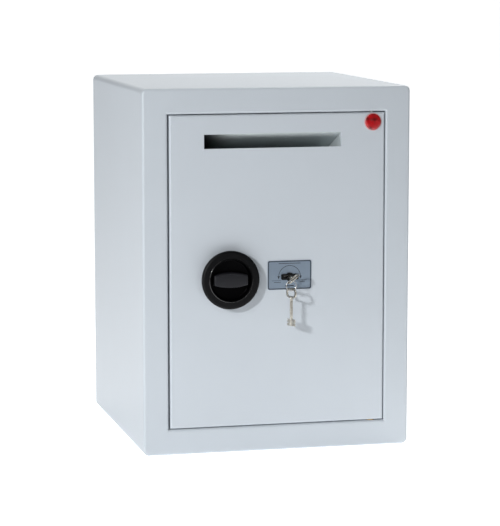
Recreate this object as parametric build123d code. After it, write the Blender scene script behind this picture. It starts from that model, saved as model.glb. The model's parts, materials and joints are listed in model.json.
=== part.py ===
from build123d import *
import math
import os

# A free-standing steel drop box: a folded sheet casing with a hinged door that carries a sloping
# deposit chute, hand-turned boltwork, a double-bit key lock and two keys on a ring.
# Millimetres. +X right, +Y towards the back, +Z up, origin at the centre of the base's underside.
# Shapes used only to cut run a millimetre past what they cut.

# Casing
WIDTH = 450.0
DEPTH = 450.0
HEIGHT = 600.0
CASE_SHEET = 3.0
BORDER = 42.0
JAMB_DEPTH = 20.0
SIDE_BEND = 9.0
FRONT_BEND = 4.0
JAMB_BEND = 4.0
BASE_PLATE = 5.0
ANCHOR_HOLE_R = 6.5
ANCHOR_SPACING = 300.0
STOP_SHEET = 3.0
STOP_LIP = 10.0
STOP_GAP = 1.0
KEEPER_THICK = 6.0

# Door
DOOR_SHEET = 3.0
DOOR_BEND = 3.0
LATCH_GAP = 2.5
EDGE_GAP = 1.5
HINGE_INSET = 20.0
HINGE_SETBACK = 9.0
PIVOT_R = 4.0
BUSH_R = 7.0
BUSH_NECK_R = 5.0
BUSH_LENGTH = 12.0
WASHER_THICK = 1.3
HINGE_BLOCK = 18.0
CHANNEL_WIDTH = 12.0
COVER_SHEET = 1.5
DOG_R = 6.0
DOG_REACH = 10.0
DOG_ROOT = 4.0
COVER_SCREW_R = 2.5
COVER_SCREW_LENGTH = 12.0
COVER_SCREW_INSET = 25.0
COVER_HEAD_R = 4.5
COVER_HEAD = 2.6
COVER_HEAD_ROUND = 1.2
DRIVE_SLOT = 1.0
DRIVE_DEPTH = 1.2
EDGE_BREAK = 0.8

# Fits
RUNNING = 0.05
CLEAR = 0.3

# Deposit slot and chute
SLOT_HEIGHT = 24.0
SLOT_TOP_MARGIN = 31.0
SLOT_LEFT_MARGIN = 57.5
SLOT_RIGHT_MARGIN = 74.5
CHUTE_SLOPE = 21.0
CHUTE_REACH = 105.0
CHUTE_SHEET = 2.0

# Boltwork
KNOB_INSET = 98.5
KNOB_DROP = 12.0
BOLT_R = 8.0
BOLT_FRONT_GAP = 1.0
BOLT_BACK_GAP = 1.5
BOLT_TIP_BREAK = 1.5
BOLT_LENGTH = 46.0
GUIDE_THICK = 10.0
GUIDE_WALL = 5.0
CARRIER_SHEET = 5.0
CARRIER_WIDTH = 18.0
ARM_HEIGHT = 24.0
RIVET_R = 2.5
RIVET_LENGTH = 13.0
RIVET_INSET = 5.5
PINION_TEETH = 16
MODULE = 1.6
BACKLASH = 0.16
PRESSURE_ANGLE = math.radians(20)
ADDENDUM = 0.9
DEDENDUM = 1.25
RACK_TEETH = 10
RACK_TEETH_LEFT = 3
QUARTER_TURN = math.pi / 2

# Knob
KNOB_R = 48.0
KNOB_HEIGHT = 18.0
RECESS_R = 35.0
RECESS_FLOOR = 6.0
GRIP_LENGTH = 56.0
GRIP_MID = 24.5
GRIP_END = 16.0
GRIP_PROUD = 1.0
GRIP_ROUND = 1.5
KNOB_ROUND = 3.5
LIP_BREAK = 2.0
SPINDLE_R = 5.0
SPINDLE_SINK = 6.0
BUSH_WALL = 3.0
SPRING_RING = 1.0
SPRING_RING_WALL = 2.5
SPRING_RING_GAP = 3.0
ROSETTE_R = 36.0
ROSETTE_THICK = 2.0

# Lock
LOCK_OFFSET = 102.0
LOCK_RISE = 0.8
HARD_PLATE = 5.0
LOCK_WIDTH = 84.0
LOCK_HEIGHT = 70.0
LOCK_BELOW_KEY = 26.5
LOCK_BACK_GAP = 1.1
LOCK_SCREW_R = 2.0
LOCK_HEAD_R = 3.5
LOCK_HEAD = 1.4
LOCK_SCREW_GRIP = 4.0
LOCK_CORNER = 6.0
LOCK_WALL = 2.5
LOCK_COVER = 2.0
LOCK_BOLT_WIDTH = 10.0
LOCK_BOLT_THICK = 8.0
LOCK_BOLT_OFFSET = 24.0
LOCK_BOLT_LENGTH = 34.0
NOTCH_DEPTH = 9.0
LEVER_SHEET = 1.6
LEVER_COUNT = 4
CURTAIN_R = 15.0
CURTAIN_STEP = 1.4
KEYHOLE_HEIGHT = 5.0
KEYHOLE_SIDE_GAP = 1.5
KEYHOLE_ROUND_GAP = 1.0
LABEL_WIDTH = 74.0
LABEL_HEIGHT = 48.0
LABEL_THICK = 0.8
LABEL_RISE = 3.0
BEZEL_THICK = 2.0
BEZEL_R = 7.0
BEZEL_WIDTH = 29.0
BEZEL_HEIGHT = 9.5
BEZEL_CORNER = 2.0

# Keys and ring
KEY_TURN = 40.0
BOW_WIDTH = 24.0
BOW_LENGTH = 17.0
BOW_SHEET = 2.0
BOW_RIM = 3.6
BOW_ROUND = 0.42
SHAFT_ROOT = 2.0
KEY_SHAFT_R = 2.5
KEY_SHAFT_LENGTH = 46.0
KEY_STAND_OFF = 17.5
BIT_WIDTH = 19.0
BIT_LENGTH = 11.0
BIT_SHEET = 2.6
BIT_END = 0.5
BIT_CUTS = ((-0.32, 1.9), (0.04, 2.8), (0.34, 1.2))
BIT_CUT_SHARE = 0.16
RING_R = 8.5
WIRE_R = 0.7
RING_SLACK = 3.8
SPARE_TWIST = -63.0

# Badge
BADGE_R = 14.5
BADGE_THICK = 4.0
BADGE_INSET_X = 20.5
BADGE_INSET_Z = 15.5

# Places worked out from the sizes above
FRONT = -DEPTH / 2
BACK = DEPTH / 2
OPEN_LEFT = -WIDTH / 2 + BORDER
OPEN_RIGHT = WIDTH / 2 - BORDER
OPEN_BOTTOM = BORDER
OPEN_TOP = HEIGHT - BORDER
DOOR_LEFT = OPEN_LEFT + LATCH_GAP
DOOR_RIGHT = OPEN_RIGHT - EDGE_GAP
DOOR_BOTTOM = OPEN_BOTTOM + EDGE_GAP
DOOR_TOP = OPEN_TOP - EDGE_GAP
FACE_BACK = FRONT + DOOR_SHEET
BOLT_Y = FRONT + JAMB_DEPTH + BOLT_FRONT_GAP + BOLT_R
DOOR_DEPTH = JAMB_DEPTH + BOLT_FRONT_GAP + 2 * BOLT_R + BOLT_BACK_GAP + COVER_SHEET
DOOR_BACK = FRONT + DOOR_DEPTH
COVER_FRONT = DOOR_BACK - COVER_SHEET
HINGE_X = DOOR_RIGHT - HINGE_INSET
HINGE_Y = FRONT + HINGE_SETBACK
SLOT_LEFT = DOOR_LEFT + SLOT_LEFT_MARGIN
SLOT_RIGHT = DOOR_RIGHT - SLOT_RIGHT_MARGIN
SLOT_TOP = DOOR_TOP - SLOT_TOP_MARGIN
SLOT_BOTTOM = SLOT_TOP - SLOT_HEIGHT
SLOPE_DROP = math.tan(math.radians(CHUTE_SLOPE))
CHUTE_SKIN = CHUTE_SHEET / math.cos(math.radians(CHUTE_SLOPE))
COVER_TOP = SLOT_BOTTOM - DOOR_DEPTH * SLOPE_DROP - CHUTE_SKIN - 8.0
COVER_BOTTOM = DOOR_BOTTOM + 16.0
KNOB_X = DOOR_LEFT + KNOB_INSET
KNOB_Z = HEIGHT / 2 - KNOB_DROP
KEY_X = KNOB_X + LOCK_OFFSET
KEY_Z = KNOB_Z + LOCK_RISE
BOLT_TIP = DOOR_LEFT + 1.0
BOLT_TAIL = BOLT_TIP + BOLT_LENGTH
GUIDE_RIGHT = DOOR_LEFT + DOOR_SHEET + GUIDE_THICK
PITCH_R = MODULE * PINION_TEETH / 2
TRAVEL = PITCH_R * QUARTER_TURN
CARRIER_LEFT = GUIDE_RIGHT + TRAVEL + 1.4
CARRIER_RIGHT = CARRIER_LEFT + CARRIER_WIDTH
CARRIER_FRONT = BOLT_Y - CARRIER_SHEET / 2
CARRIER_BACK = BOLT_Y + CARRIER_SHEET / 2
CHANNEL_TOP_Z = COVER_TOP - CHANNEL_WIDTH
BOLT_ZS = [COVER_BOTTOM + 60.0, KNOB_Z, CHANNEL_TOP_Z - BOLT_R - 6.0]
DOG_ZS = [BOLT_ZS[0], BOLT_ZS[-1]]
RACK_LINE = KNOB_Z - PITCH_R
RACK_ROOT = RACK_LINE - MODULE * DEDENDUM
RACK_TIP = RACK_LINE + MODULE * ADDENDUM
LOCK_BOTTOM = KEY_Z - LOCK_BELOW_KEY
ARM_TOP = LOCK_BOTTOM - 2.4
ARM_BOTTOM = ARM_TOP - ARM_HEIGHT
LOCK_TOP = LOCK_BOTTOM + LOCK_HEIGHT
LOCK_FRONT = FACE_BACK + HARD_PLATE
LOCK_BACK = COVER_FRONT - LOCK_BACK_GAP - LOCK_HEAD - LOCK_COVER
LOCK_LEFT = KEY_X - LOCK_WIDTH / 2
LOCK_RIGHT = KEY_X + LOCK_WIDTH / 2
LOCK_BOLT_X = KEY_X + LOCK_BOLT_OFFSET
NOTCH_XS = [LOCK_BOLT_X, LOCK_BOLT_X + TRAVEL]
ARM_GUIDE_LEFT = NOTCH_XS[1] + LOCK_BOLT_WIDTH / 2 + 6.0
ARM_GUIDE_RIGHT = ARM_GUIDE_LEFT + 10.0
ARM_END = ARM_GUIDE_RIGHT + TRAVEL + 4.0
PLATE_LEFT = KNOB_X - 30.0
PLATE_RIGHT = ARM_GUIDE_RIGHT + 4.0
PLATE_BOTTOM = ARM_BOTTOM - 8.0
PLATE_TOP = LOCK_TOP + 4.0
KNOB_BACK = FRONT - ROSETTE_THICK - CLEAR
BIT_START = FRONT - KEY_STAND_OFF + KEY_SHAFT_LENGTH - BIT_LENGTH - BIT_END


def block(x0, x1, y0, y1, z0, z1):
    """A rectangular block between two opposite corners."""
    centre = Pos((x0 + x1) / 2, (y0 + y1) / 2, (z0 + z1) / 2)
    return centre * Box(x1 - x0, y1 - y0, z1 - z0)


def rod_x(y, z, radius, x0, x1):
    """A round bar along X."""
    return Pos((x0 + x1) / 2, y, z) * Rot(0, 90, 0) * Cylinder(radius, x1 - x0)


def rod_y(x, z, radius, y0, y1):
    """A round bar along Y."""
    return Pos(x, (y0 + y1) / 2, z) * Rot(90, 0, 0) * Cylinder(radius, y1 - y0)


def rod_z(x, y, radius, z0, z1):
    """A round bar along Z."""
    return Pos(x, y, (z0 + z1) / 2) * Cylinder(radius, z1 - z0)


def plate_y(points, y0, y1):
    """A plate of any outline in the XZ plane, from y0 back to y1."""
    outline = Polyline(*[(x, y0, z) for x, z in points], close=True)
    return extrude(make_face(outline), amount=y1 - y0, dir=(0, 1, 0))


def plate_x(points, x0, x1):
    """A plate of any outline in the YZ plane, from x0 to x1."""
    outline = Polyline(*[(x0, y, z) for y, z in points], close=True)
    return extrude(make_face(outline), amount=x1 - x0, dir=(1, 0, 0))


def keyhole(width, height, radius, y0, y1):
    """The round hole with two side wings that a double-bit key goes through."""
    wings = block(KEY_X - width / 2, KEY_X + width / 2, y0, y1, KEY_Z - height / 2, KEY_Z + height / 2)
    return wings + rod_y(KEY_X, KEY_Z, radius, y0, y1)


def key_passage(y0, y1):
    """What is cut so that the key passes freely from y0 to y1."""
    return keyhole(BIT_WIDTH + 2 * KEYHOLE_SIDE_GAP, KEYHOLE_HEIGHT, KEY_SHAFT_R + KEYHOLE_ROUND_GAP,
                   y0 - 1, y1 + 1)


def save(name, *solids):
    """Write one node, as one solid or as a group of separate solids."""
    shape = solids[0] if len(solids) == 1 else Compound(list(solids))
    export_step(shape, os.path.join("parts", name + ".step"))


def long_edges(shape):
    """The edges that run from front to back."""
    return shape.edges().filter_by(Axis.Y)


def body_shell():
    """Top, sides, bottom, front border and door jamb, folded and welded from one sheet."""
    outer = block(-WIDTH / 2, WIDTH / 2, FRONT, BACK, 0, HEIGHT)
    outer = fillet(long_edges(outer), SIDE_BEND)
    outer = fillet(outer.faces().sort_by(Axis.Y)[0].edges(), FRONT_BEND)
    hollow = block(-WIDTH / 2 + CASE_SHEET, WIDTH / 2 - CASE_SHEET, FRONT + CASE_SHEET, BACK + 1,
                   CASE_SHEET, HEIGHT - CASE_SHEET)
    hollow = fillet(long_edges(hollow), SIDE_BEND - CASE_SHEET)
    jamb = block(OPEN_LEFT - CASE_SHEET, OPEN_RIGHT + CASE_SHEET, FRONT + CASE_SHEET, FRONT + JAMB_DEPTH,
                 OPEN_BOTTOM - CASE_SHEET, OPEN_TOP + CASE_SHEET)
    opening = block(OPEN_LEFT, OPEN_RIGHT, FRONT - 1, FRONT + JAMB_DEPTH + 1, OPEN_BOTTOM, OPEN_TOP)
    shell = outer - hollow + jamb - opening
    inner_rim = shell.faces().sort_by(Axis.Y)[0].inner_wires()[0].edges()
    shell = fillet(inner_rim, JAMB_BEND)
    for x in (-ANCHOR_SPACING / 2, ANCHOR_SPACING / 2):
        for y in (-ANCHOR_SPACING / 2, ANCHOR_SPACING / 2):
            shell -= rod_z(x, y, ANCHOR_HOLE_R, -1, CASE_SHEET + 1)
    for z0, z1 in ((OPEN_BOTTOM - CASE_SHEET, OPEN_BOTTOM), (OPEN_TOP, OPEN_TOP + CASE_SHEET)):
        shell -= rod_z(HINGE_X, HINGE_Y, PIVOT_R, z0 - 1, z1 + 1)
    return shell


def back_panel():
    """The flat back, welded inside the folded wrap."""
    panel = block(-WIDTH / 2 + CASE_SHEET, WIDTH / 2 - CASE_SHEET, BACK - CASE_SHEET, BACK,
                  CASE_SHEET, HEIGHT - CASE_SHEET)
    return fillet(long_edges(panel), SIDE_BEND - CASE_SHEET)


def base_plate():
    """The doubler that the anchor bolts clamp."""
    inset = CASE_SHEET + SIDE_BEND
    plate = block(-WIDTH / 2 + inset, WIDTH / 2 - inset, FRONT + BORDER + 10, BACK - CASE_SHEET - 2,
                  CASE_SHEET, CASE_SHEET + BASE_PLATE)
    for x in (-ANCHOR_SPACING / 2, ANCHOR_SPACING / 2):
        for y in (-ANCHOR_SPACING / 2, ANCHOR_SPACING / 2):
            plate -= rod_z(x, y, ANCHOR_HOLE_R, CASE_SHEET - 1, CASE_SHEET + BASE_PLATE + 1)
    return plate


def stop_frame():
    """Three strips that the door closes against. The hinge side is left free for the door's heel."""
    y0 = DOOR_BACK + STOP_GAP
    y1 = y0 + STOP_SHEET
    right = HINGE_X - 28.0
    inside = block(OPEN_LEFT + STOP_LIP, right + 1, y0 - 1, y1 + 1,
                   OPEN_BOTTOM + STOP_LIP, OPEN_TOP - STOP_LIP)
    frame = block(-WIDTH / 2 + CASE_SHEET, right, y0, y1, CASE_SHEET + BASE_PLATE, HEIGHT - CASE_SHEET)
    corner = SIDE_BEND - CASE_SHEET
    left_edges = frame.edges().filter_by(Axis.Y).group_by(Axis.X)[0]
    return fillet(left_edges, corner) - inside


def keeper_bar():
    """The bar beside the latch jamb that the thrown bolts bear on."""
    return block(OPEN_LEFT - CASE_SHEET - KEEPER_THICK, OPEN_LEFT - CASE_SHEET, FRONT + FRONT_BEND,
                 FRONT + JAMB_DEPTH, OPEN_BOTTOM + 20, OPEN_TOP - 20)


def hinge_blocks():
    """Two blocks behind the jamb that hold the pivot pins, one above the door and one below."""
    blocks = []
    for z0 in (OPEN_TOP + CASE_SHEET, OPEN_BOTTOM - CASE_SHEET - HINGE_BLOCK / 2):
        holder = block(HINGE_X - HINGE_BLOCK, HINGE_X + HINGE_BLOCK, FRONT + CASE_SHEET,
                       FRONT + JAMB_DEPTH, z0, z0 + HINGE_BLOCK / 2)
        blocks.append(holder - rod_z(HINGE_X, HINGE_Y, PIVOT_R, z0 - 1, z0 + HINGE_BLOCK / 2 + 1))
    return blocks


def pivot_pins():
    """The two fixed pins that the door turns on."""
    reach = BUSH_LENGTH - 2.0
    top = rod_z(HINGE_X, HINGE_Y, PIVOT_R, DOOR_TOP - reach, OPEN_TOP + CASE_SHEET + HINGE_BLOCK / 2)
    bottom = rod_z(HINGE_X, HINGE_Y, PIVOT_R, OPEN_BOTTOM - CASE_SHEET - HINGE_BLOCK / 2,
                   DOOR_BOTTOM + reach)
    return [chamfer(top.edges().sort_by(Axis.Z)[0], EDGE_BREAK),
            chamfer(bottom.edges().sort_by(Axis.Z)[-1], EDGE_BREAK)]


def thrust_washer():
    """The washer on the lower pin that carries the door's weight."""
    ring = rod_z(HINGE_X, HINGE_Y, BUSH_R, OPEN_BOTTOM, OPEN_BOTTOM + WASHER_THICK)
    return ring - rod_z(HINGE_X, HINGE_Y, PIVOT_R, OPEN_BOTTOM - 1, OPEN_BOTTOM + WASHER_THICK + 1)


def door_pan():
    """The door: a face with four flanges folded back."""
    pan = block(DOOR_LEFT, DOOR_RIGHT, FRONT, DOOR_BACK, DOOR_BOTTOM, DOOR_TOP)
    pan = fillet(pan.faces().sort_by(Axis.Y)[0].edges(), DOOR_BEND)
    pan -= block(DOOR_LEFT + DOOR_SHEET, DOOR_RIGHT - DOOR_SHEET, FACE_BACK, DOOR_BACK + 1,
                 DOOR_BOTTOM + DOOR_SHEET, DOOR_TOP - DOOR_SHEET)
    pan -= block(SLOT_LEFT, SLOT_RIGHT, FRONT - 1, FACE_BACK + 1, SLOT_BOTTOM, SLOT_TOP)
    pan -= rod_y(KNOB_X, KNOB_Z, SPINDLE_R + BUSH_WALL, FRONT - 1, FACE_BACK + 1)
    pan -= key_passage(FRONT, FACE_BACK)
    for z in BOLT_ZS:
        pan -= rod_x(BOLT_Y, z, BOLT_R + CLEAR, DOOR_LEFT - 1, DOOR_LEFT + DOOR_SHEET + 1)
    for z in DOG_ZS:
        pan -= rod_x(BOLT_Y, z, DOG_R, DOOR_RIGHT - DOOR_SHEET - 1, DOOR_RIGHT + 1)
    pan -= rod_z(HINGE_X, HINGE_Y, BUSH_NECK_R, DOOR_TOP - DOOR_SHEET - 1, DOOR_TOP + 1)
    pan -= rod_z(HINGE_X, HINGE_Y, BUSH_NECK_R, DOOR_BOTTOM - 1, DOOR_BOTTOM + DOOR_SHEET + 1)
    return pan


def door_bushes():
    """Bronze bushes pressed into the door's top and bottom flanges."""
    bushes = []
    for edge, way in ((DOOR_TOP, -1), (DOOR_BOTTOM, 1)):
        inner = edge + way * DOOR_SHEET
        far = edge + way * BUSH_LENGTH
        neck = rod_z(HINGE_X, HINGE_Y, BUSH_NECK_R, min(edge, inner), max(edge, inner))
        barrel = rod_z(HINGE_X, HINGE_Y, HINGE_SETBACK - DOOR_SHEET, min(inner, far), max(inner, far))
        bore = rod_z(HINGE_X, HINGE_Y, PIVOT_R + RUNNING, min(edge, far) - 1, max(edge, far) + 1)
        bushes.append(neck + barrel - bore)
    return bushes


def hinge_dogs():
    """Fixed pins, level with the end bolts, that pass behind the hinge-side jamb when the door is shut."""
    root = DOOR_RIGHT - DOOR_SHEET - DOG_ROOT
    return [rod_x(BOLT_Y, z, DOG_R, root, DOOR_RIGHT + DOG_REACH) for z in DOG_ZS]


def door_channels():
    """Two square stiffening rails welded across the inside of the face, above and below the boltwork."""
    rails = []
    for z0 in (CHANNEL_TOP_Z, COVER_BOTTOM):
        rails.append(block(DOOR_LEFT + DOOR_SHEET, DOOR_RIGHT - DOOR_SHEET, FACE_BACK, COVER_FRONT,
                           z0, z0 + CHANNEL_WIDTH))
    return rails


def cover_screw_places():
    """Centres of the six screws along the two rails."""
    xs = (DOOR_LEFT + COVER_SCREW_INSET, (DOOR_LEFT + DOOR_RIGHT) / 2, DOOR_RIGHT - COVER_SCREW_INSET)
    return [(x, z0 + CHANNEL_WIDTH / 2) for z0 in (CHANNEL_TOP_Z, COVER_BOTTOM) for x in xs]


def boltwork_cover():
    """The sheet that closes the back of the door over the boltwork."""
    cover = block(DOOR_LEFT + DOOR_SHEET, DOOR_RIGHT - DOOR_SHEET, COVER_FRONT, DOOR_BACK,
                  COVER_BOTTOM, COVER_TOP)
    for x, z in cover_screw_places():
        cover -= rod_y(x, z, COVER_SCREW_R, COVER_FRONT - 1, DOOR_BACK + 1)
    return cover


def drilled_rails():
    """The rails with tapped holes for the cover screws."""
    rails = []
    for rail in door_channels():
        for x, z in cover_screw_places():
            rail -= rod_y(x, z, COVER_SCREW_R, COVER_FRONT - COVER_SCREW_LENGTH, COVER_FRONT + 1)
        rails.append(rail)
    return rails


def cover_screws():
    """Six pan-head screws."""
    screws = []
    for x, z in cover_screw_places():
        top = DOOR_BACK + COVER_HEAD
        head = rod_y(x, z, COVER_HEAD_R, DOOR_BACK, top)
        head = fillet(head.edges().sort_by(Axis.Y)[-1], COVER_HEAD_ROUND)
        reach = COVER_HEAD_R - COVER_HEAD_ROUND
        drive = block(x - reach, x + reach, top - DRIVE_DEPTH, top + 1,
                      z - DRIVE_SLOT / 2, z + DRIVE_SLOT / 2)
        shank = rod_y(x, z, COVER_SCREW_R, COVER_FRONT - COVER_SCREW_LENGTH, DOOR_BACK)
        screws.append(head + shank - drive)
    return screws


def ceiling_at(y):
    """Height of the chute's sloping ceiling at a depth y."""
    return SLOT_TOP - (y - FRONT) * SLOPE_DROP


def chute_roof():
    """The sloping plate above the slot, which stops things being fished out."""
    y0, y1 = FACE_BACK, FRONT + CHUTE_REACH
    points = [(y0, ceiling_at(y0)), (y1, ceiling_at(y1)), (y1, ceiling_at(y1) + CHUTE_SKIN),
              (y0, ceiling_at(y0) + CHUTE_SKIN)]
    return plate_x(points, SLOT_LEFT - CHUTE_SHEET, SLOT_RIGHT + CHUTE_SHEET)


def chute_floor():
    """The sloping plate that what is posted slides down."""
    y0, y1 = FACE_BACK, FRONT + CHUTE_REACH
    points = [(y0, ceiling_at(y0) - SLOT_HEIGHT), (y1, ceiling_at(y1) - SLOT_HEIGHT),
              (y1, ceiling_at(y1) - SLOT_HEIGHT - CHUTE_SKIN), (y0, ceiling_at(y0) - SLOT_HEIGHT - CHUTE_SKIN)]
    return plate_x(points, SLOT_LEFT - CHUTE_SHEET, SLOT_RIGHT + CHUTE_SHEET)


def chute_cheeks():
    """The two side plates of the chute."""
    y0, y1 = FACE_BACK, FRONT + CHUTE_REACH
    points = [(y0, ceiling_at(y0)), (y1, ceiling_at(y1)), (y1, ceiling_at(y1) - SLOT_HEIGHT),
              (y0, ceiling_at(y0) - SLOT_HEIGHT)]
    left = plate_x(points, SLOT_LEFT - CHUTE_SHEET, SLOT_LEFT)
    return [left, plate_x(points, SLOT_RIGHT, SLOT_RIGHT + CHUTE_SHEET)]


def locking_bolts():
    """Three round bolts, each slotted at its tail to straddle the carrier and chamfered at its tip."""
    bolts = []
    for z in BOLT_ZS:
        bolt = rod_x(BOLT_Y, z, BOLT_R, BOLT_TIP, BOLT_TAIL)
        bolt = chamfer(bolt.edges().sort_by(Axis.X)[0], BOLT_TIP_BREAK)
        bolt -= block(CARRIER_LEFT, BOLT_TAIL + 1, CARRIER_FRONT, CARRIER_BACK,
                      z - BOLT_R - 1, z + BOLT_R + 1)
        bolts.append(bolt - rivet(z))
    return bolts


def rivet(z):
    """One rivet through a bolt's tail and the carrier."""
    return rod_y(CARRIER_LEFT + RIVET_INSET, z, RIVET_R, BOLT_Y - RIVET_LENGTH / 2, BOLT_Y + RIVET_LENGTH / 2)


def bolt_rivets():
    """The three rivets."""
    return [rivet(z) for z in BOLT_ZS]


def bolt_guides():
    """Three blocks inside the latch flange that the bolts slide in."""
    guides = []
    for z in BOLT_ZS:
        guide = block(DOOR_LEFT + DOOR_SHEET, GUIDE_RIGHT, BOLT_Y - BOLT_R - GUIDE_WALL, COVER_FRONT,
                      z - BOLT_R - GUIDE_WALL, z + BOLT_R + GUIDE_WALL)
        guides.append(guide - rod_x(BOLT_Y, z, BOLT_R + RUNNING, DOOR_LEFT, GUIDE_RIGHT + 1))
    return guides


def rack_outline():
    """The carrier arm's raised top edge, with straight-sided rack teeth."""
    pitch = math.pi * MODULE
    slope = math.tan(PRESSURE_ANGLE)
    half = pitch / 4 - BACKLASH
    half_root = half + MODULE * DEDENDUM * slope
    half_tip = half - MODULE * ADDENDUM * slope
    points = []
    for i in range(RACK_TEETH):
        centre = KNOB_X + (i + 0.5 - RACK_TEETH_LEFT) * pitch
        points += [(centre - half_root, RACK_ROOT), (centre - half_tip, RACK_TIP)]
        points += [(centre + half_tip, RACK_TIP), (centre + half_root, RACK_ROOT)]
    return points


def bolt_carrier():
    """One plate: an upright that carries the bolts, and an arm with the rack and two lock notches."""
    upright = block(CARRIER_LEFT, CARRIER_RIGHT, CARRIER_FRONT, CARRIER_BACK,
                    BOLT_ZS[0] - BOLT_R - 4, BOLT_ZS[2] + BOLT_R + 2)
    teeth = rack_outline()
    rack_end = teeth[-1][0] + MODULE * 2
    outline = [(CARRIER_LEFT + 1, ARM_BOTTOM), (ARM_END, ARM_BOTTOM), (ARM_END, ARM_TOP),
               (rack_end, ARM_TOP), (rack_end, RACK_ROOT)]
    outline += teeth[::-1]
    outline += [(CARRIER_LEFT + 1, RACK_ROOT)]
    carrier = upright + plate_y(outline, CARRIER_FRONT, CARRIER_BACK)
    for x in NOTCH_XS:
        half = LOCK_BOLT_WIDTH / 2 + 0.5
        carrier -= block(x - half, x + half, CARRIER_FRONT - 1, CARRIER_BACK + 1,
                         ARM_TOP - NOTCH_DEPTH, ARM_TOP + 1)
    for z in BOLT_ZS:
        carrier -= rivet(z)
    return carrier


def involute_flank(tip_r):
    """Points along one tooth flank, as distance from the centre and angle from the tooth's middle."""
    base_r = PITCH_R * math.cos(PRESSURE_ANGLE)
    tilt = math.tan(PRESSURE_ANGLE) - PRESSURE_ANGLE
    half_angle = QUARTER_TURN / PINION_TEETH - BACKLASH / PITCH_R
    points = []
    for i in range(6):
        r = base_r + (tip_r - base_r) * i / 5
        roll = math.sqrt(max(0.0, (r / base_r) ** 2 - 1))
        points.append((r, half_angle + tilt - (roll - math.atan(roll))))
    return points


def pinion():
    """The toothed wheel on the knob's spindle, in mesh with the carrier's rack."""
    flank = involute_flank(PITCH_R + MODULE * ADDENDUM)
    root_r = PITCH_R - MODULE * DEDENDUM
    outline = []
    for tooth in range(PINION_TEETH):
        middle = 2 * math.pi * tooth / PINION_TEETH - math.pi / 2
        side = [(root_r, flank[0][1] + 0.03)] + flank
        for r, angle in side:
            outline.append((KNOB_X + r * math.cos(middle - angle), KNOB_Z + r * math.sin(middle - angle)))
        for r, angle in side[::-1]:
            outline.append((KNOB_X + r * math.cos(middle + angle), KNOB_Z + r * math.sin(middle + angle)))
    wheel = plate_y(outline, CARRIER_FRONT, CARRIER_BACK)
    return wheel - rod_y(KNOB_X, KNOB_Z, SPINDLE_R, CARRIER_FRONT - 1, CARRIER_BACK + 1)


def arm_guide():
    """A slotted block that keeps the carrier's arm level."""
    guide = block(ARM_GUIDE_LEFT, ARM_GUIDE_RIGHT, LOCK_FRONT, CARRIER_BACK + 4,
                  ARM_BOTTOM - 5, ARM_TOP + 5)
    return guide - block(ARM_GUIDE_LEFT - 1, ARM_GUIDE_RIGHT + 1, CARRIER_FRONT - CLEAR,
                         CARRIER_BACK + CLEAR, ARM_BOTTOM - CLEAR, ARM_TOP + CLEAR)


def retaining_ring():
    """The spring ring that keeps the pinion on its spindle."""
    outer_r = SPINDLE_R + SPRING_RING_WALL
    y0 = CARRIER_BACK + CLEAR
    y1 = y0 + SPRING_RING
    ring = rod_y(KNOB_X, KNOB_Z, outer_r, y0, y1) - rod_y(KNOB_X, KNOB_Z, SPINDLE_R, y0 - 1, y1 + 1)
    gap = block(KNOB_X - SPRING_RING_GAP / 2, KNOB_X + SPRING_RING_GAP / 2, y0 - 1, y1 + 1,
                KNOB_Z, KNOB_Z + outer_r + 1)
    return ring - gap


def knob_spindle():
    """The steel shaft from the knob to the pinion."""
    shaft = rod_y(KNOB_X, KNOB_Z, SPINDLE_R, FRONT - KNOB_HEIGHT + SPINDLE_SINK, CARRIER_BACK + BUSH_WALL)
    return chamfer(shaft.edges().sort_by(Axis.Y)[-1], EDGE_BREAK)


def spindle_bush():
    """The plain bearing pressed through the face and the hard plate."""
    bush = rod_y(KNOB_X, KNOB_Z, SPINDLE_R + BUSH_WALL, FRONT - ROSETTE_THICK, LOCK_FRONT + 6)
    return bush - rod_y(KNOB_X, KNOB_Z, SPINDLE_R + RUNNING, FRONT - ROSETTE_THICK - 1, LOCK_FRONT + 7)


def knob_rosette():
    """The thin ring on the door's face behind the knob."""
    ring = rod_y(KNOB_X, KNOB_Z, ROSETTE_R, FRONT - ROSETTE_THICK, FRONT)
    return ring - rod_y(KNOB_X, KNOB_Z, SPINDLE_R + BUSH_WALL, FRONT - ROSETTE_THICK - 1, FRONT + 1)


def knob_dish():
    """The round knob: a thick rim round a deep finger recess."""
    face_y = FRONT - KNOB_HEIGHT
    floor_y = FRONT - RECESS_FLOOR
    back = KNOB_BACK
    round_in = KNOB_ROUND * 0.3
    profile = [(SPINDLE_R, back), (KNOB_R - KNOB_ROUND, back), (KNOB_R - round_in, back - KNOB_ROUND),
               (KNOB_R, back - 2 * KNOB_ROUND), (KNOB_R, face_y + KNOB_ROUND),
               (KNOB_R - round_in, face_y + round_in), (KNOB_R - KNOB_ROUND, face_y),
               (RECESS_R + LIP_BREAK, face_y), (RECESS_R, face_y + LIP_BREAK),
               (RECESS_R - LIP_BREAK / 2, floor_y), (SPINDLE_R, floor_y)]
    outline = make_face(Polyline(*[(r, y, 0) for r, y in profile], close=True))
    return Pos(KNOB_X, 0, KNOB_Z) * revolve(outline, Axis.Y, 360)


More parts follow.
